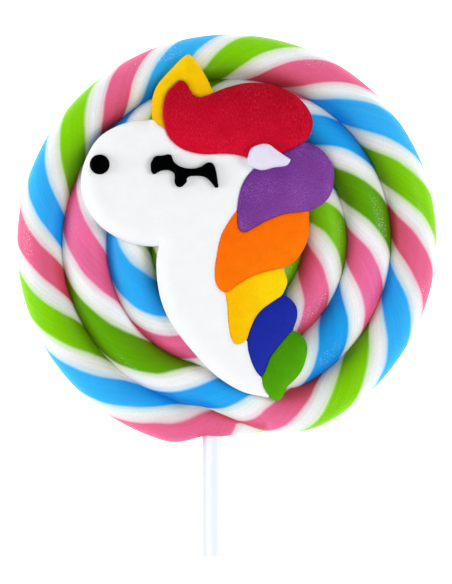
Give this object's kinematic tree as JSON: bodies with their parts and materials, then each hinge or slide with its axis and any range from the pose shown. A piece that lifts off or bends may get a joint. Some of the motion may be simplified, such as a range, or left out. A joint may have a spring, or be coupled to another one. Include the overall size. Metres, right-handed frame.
{
  "type": "swirl lollipop",
  "caption": "Round swirl lollipop of twisted striped hard candy, with a sugar-icing unicorn's head on its front and a plain stick.",
  "frame": {"origin": "middle of the coil, on the flat back that the lollipop lies on", "axes": "+Z out of the front, through the icing; +Y from the stick towards the top of the disc; +X to the right as the front is seen"},
  "size_m": [0.0804, 0.1, 0.0145],
  "materials": {
    "candy": "pulled hard candy in twisted pink, blue, green and white stripes, satin gloss",
    "stick": "smooth bluish-white plastic",
    "icing_white": "fine-grained sugar icing, matte",
    "icing_gold": "fine-grained sugar icing, matte",
    "icing_red": "fine-grained sugar icing, matte with small glints",
    "icing_pale_pink": "smooth sugar icing, matte",
    "icing_purple": "fine-grained sugar icing, matte with small glints",
    "icing_orange": "fine-grained sugar icing, matte",
    "icing_yellow": "fine-grained sugar icing, matte",
    "icing_blue": "fine-grained sugar icing, matte",
    "icing_green": "fine-grained sugar icing, matte",
    "icing_black": "smooth black icing, slightly shiny"
  },
  "bodies": {
    "root": {"candy": "candy", "stick": "stick", "unicorn_head": "icing_white", "horn": "icing_gold", "forelock": "icing_red", "ear": "icing_pale_pink", "mane_purple": "icing_purple", "mane_orange": "icing_orange", "mane_yellow": "icing_yellow", "mane_blue": "icing_blue", "mane_green": "icing_green", "nostril": "icing_black", "eye": "icing_black"}
  },
  "joints": []
}
